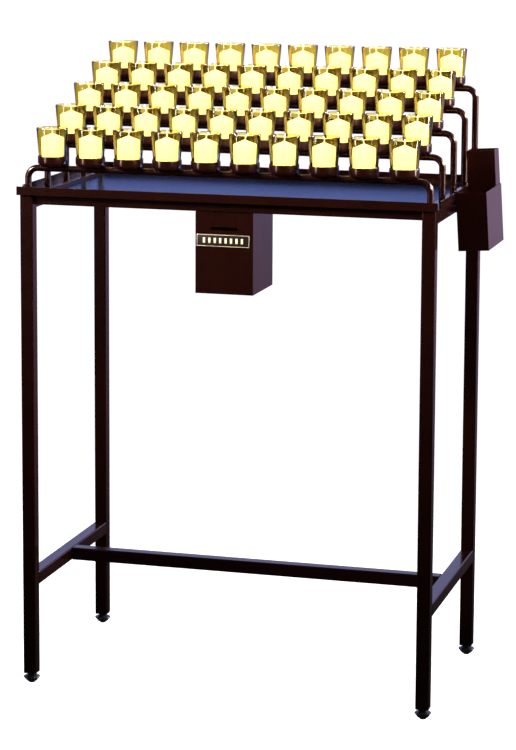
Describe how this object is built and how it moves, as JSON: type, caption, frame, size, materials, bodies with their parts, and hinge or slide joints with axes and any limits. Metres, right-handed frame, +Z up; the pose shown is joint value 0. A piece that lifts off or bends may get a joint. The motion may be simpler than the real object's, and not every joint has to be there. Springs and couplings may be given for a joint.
{
  "type": "votive candle rack",
  "caption": "Free-standing metal stand with a lipped tray, stepped rails of cups for votive glasses, a lockable coin box under the tray and a side taper holder.",
  "frame": {"origin": "centre of the bounding box at floor level", "axes": "+Z up, the front with the coin slot faces -Y, +X is to the right of someone who faces the front"},
  "size_m": [0.8786, 0.4774, 1.2241],
  "materials": {
    "brown_paint": "semi-gloss dark brown powder coat",
    "polished_sheet": "polished sheet steel, slightly wavy, that mirrors the rails",
    "amber_glass": "clear amber pressed glass",
    "candle_wax": "cream candle wax",
    "black_plastic": "glossy black moulded plastic",
    "nylon_insert": "black nylon",
    "zinc_steel": "zinc-plated steel",
    "brass_plate": "polished raised brass on a dark field"
  },
  "bodies": {
    "stand": {"leg_front_left": "brown_paint", "leg_rear_left": "brown_paint", "leg_front_right": "brown_paint", "leg_rear_right": "brown_paint", "leg_plug_front_left": "nylon_insert", "leg_plug_rear_left": "nylon_insert", "leg_plug_front_right": "nylon_insert", "leg_plug_rear_right": "nylon_insert", "upper_side_rail_left": "brown_paint", "upper_side_rail_right": "brown_paint", "lower_side_stretcher_left": "brown_paint", "lower_side_stretcher_right": "brown_paint", "upper_front_rail": "brown_paint", "upper_rear_rail": "brown_paint", "lower_cross_stretcher": "brown_paint", "tray_bearer_left": "brown_paint", "tray_bearer_right": "brown_paint", "tray_lip_front": "brown_paint", "tray_lip_rear": "brown_paint", "tray_lip_left": "brown_paint", "tray_lip_right": "brown_paint", "tray_pan": "polished_sheet", "candle_rail_1": "brown_paint", "candle_rail_2": "brown_paint", "candle_rail_3": "brown_paint", "candle_rail_4": "brown_paint", "candle_rail_5": "brown_paint", "offering_box_body": "brown_paint", "door_hinge_pin": "zinc_steel", "name_plate": "brass_plate"},
    "foot_front_left": {"levelling_foot_front_left": "black_plastic"},
    "foot_rear_left": {"levelling_foot_rear_left": "black_plastic"},
    "foot_front_right": {"levelling_foot_front_right": "black_plastic"},
    "foot_rear_right": {"levelling_foot_rear_right": "black_plastic"},
    "box_door": {"offering_box_door": "brown_paint", "lock_cylinder": "zinc_steel"},
    "cam": {"lock_cam": "zinc_steel"},
    "taper_holder": {"taper_box": "brown_paint", "taper_sleeve": "brown_paint"},
    "glass_01": {"votive_glass_01": "amber_glass"},
    "glass_02": {"votive_glass_02": "amber_glass"},
    "glass_03": {"votive_glass_03": "amber_glass"},
    "glass_04": {"votive_glass_04": "amber_glass"},
    "glass_05": {"votive_glass_05": "amber_glass"},
    "glass_06": {"votive_glass_06": "amber_glass"},
    "glass_07": {"votive_glass_07": "amber_glass"},
    "glass_08": {"votive_glass_08": "amber_glass"},
    "glass_09": {"votive_glass_09": "amber_glass"},
    "glass_10": {"votive_glass_10": "amber_glass"},
    "candle_01": {"votive_candle_01": "candle_wax"},
    "candle_02": {"votive_candle_02": "candle_wax"},
    "candle_03": {"votive_candle_03": "candle_wax"},
    "candle_04": {"votive_candle_04": "candle_wax"},
    "candle_05": {"votive_candle_05": "candle_wax"},
    "candle_06": {"votive_candle_06": "candle_wax"},
    "candle_07": {"votive_candle_07": "candle_wax"},
    "candle_08": {"votive_candle_08": "candle_wax"},
    "candle_09": {"votive_candle_09": "candle_wax"},
    "candle_10": {"votive_candle_10": "candle_wax"}
  },
  "joints": [
    {"name": "foot_front_left_adjust", "type": "slide", "parent": "stand", "child": "foot_front_left", "axis": [0, 0, 1], "range_m": [-0.012, 0]},
    {"name": "foot_rear_left_adjust", "type": "slide", "parent": "stand", "child": "foot_rear_left", "axis": [0, 0, 1], "range_m": [-0.012, 0]},
    {"name": "foot_front_right_adjust", "type": "slide", "parent": "stand", "child": "foot_front_right", "axis": [0, 0, 1], "range_m": [-0.012, 0]},
    {"name": "foot_rear_right_adjust", "type": "slide", "parent": "stand", "child": "foot_rear_right", "axis": [0, 0, 1], "range_m": [-0.012, 0]},
    {"name": "box_door_hinge", "type": "hinge", "parent": "stand", "child": "box_door", "pos_m": [-0.0918, -0.07975, 0.8617], "axis": [0, 0, 1], "range_deg": [0, 110]},
    {"name": "lock_cam_turn", "type": "hinge", "parent": "box_door", "child": "cam", "pos_m": [0.0032, -0.09005, 0.8617], "axis": [0, 1, 0], "range_deg": [0, 90]},
    {"name": "taper_holder_lift", "type": "slide", "parent": "stand", "child": "taper_holder", "axis": [0, 0, 1], "range_m": [0, 0.011]},
    {"name": "glass_01_lift", "type": "slide", "parent": "stand", "child": "glass_01", "axis": [0, 0, 1], "range_m": [0, 0.03]},
    {"name": "glass_02_lift", "type": "slide", "parent": "stand", "child": "glass_02", "axis": [0, 0, 1], "range_m": [0, 0.03]},
    {"name": "glass_03_lift", "type": "slide", "parent": "stand", "child": "glass_03", "axis": [0, 0, 1], "range_m": [0, 0.03]},
    {"name": "glass_04_lift", "type": "slide", "parent": "stand", "child": "glass_04", "axis": [0, 0, 1], "range_m": [0, 0.03]},
    {"name": "glass_05_lift", "type": "slide", "parent": "stand", "child": "glass_05", "axis": [0, 0, 1], "range_m": [0, 0.03]},
    {"name": "glass_06_lift", "type": "slide", "parent": "stand", "child": "glass_06", "axis": [0, 0, 1], "range_m": [0, 0.03]},
    {"name": "glass_07_lift", "type": "slide", "parent": "stand", "child": "glass_07", "axis": [0, 0, 1], "range_m": [0, 0.03]},
    {"name": "glass_08_lift", "type": "slide", "parent": "stand", "child": "glass_08", "axis": [0, 0, 1], "range_m": [0, 0.03]},
    {"name": "glass_09_lift", "type": "slide", "parent": "stand", "child": "glass_09", "axis": [0, 0, 1], "range_m": [0, 0.03]},
    {"name": "glass_10_lift", "type": "slide", "parent": "stand", "child": "glass_10", "axis": [0, 0, 1], "range_m": [0, 0.03]},
    {"name": "candle_01_lift", "type": "slide", "parent": "glass_01", "child": "candle_01", "axis": [0, 0, 1], "range_m": [0, 0.03]},
    {"name": "candle_02_lift", "type": "slide", "parent": "glass_02", "child": "candle_02", "axis": [0, 0, 1], "range_m": [0, 0.03]},
    {"name": "candle_03_lift", "type": "slide", "parent": "glass_03", "child": "candle_03", "axis": [0, 0, 1], "range_m": [0, 0.03]},
    {"name": "candle_04_lift", "type": "slide", "parent": "glass_04", "child": "candle_04", "axis": [0, 0, 1], "range_m": [0, 0.03]},
    {"name": "candle_05_lift", "type": "slide", "parent": "glass_05", "child": "candle_05", "axis": [0, 0, 1], "range_m": [0, 0.03]},
    {"name": "candle_06_lift", "type": "slide", "parent": "glass_06", "child": "candle_06", "axis": [0, 0, 1], "range_m": [0, 0.03]},
    {"name": "candle_07_lift", "type": "slide", "parent": "glass_07", "child": "candle_07", "axis": [0, 0, 1], "range_m": [0, 0.03]},
    {"name": "candle_08_lift", "type": "slide", "parent": "glass_08", "child": "candle_08", "axis": [0, 0, 1], "range_m": [0, 0.03]},
    {"name": "candle_09_lift", "type": "slide", "parent": "glass_09", "child": "candle_09", "axis": [0, 0, 1], "range_m": [0, 0.03]},
    {"name": "candle_10_lift", "type": "slide", "parent": "glass_10", "child": "candle_10", "axis": [0, 0, 1], "range_m": [0, 0.03]}
  ]
}
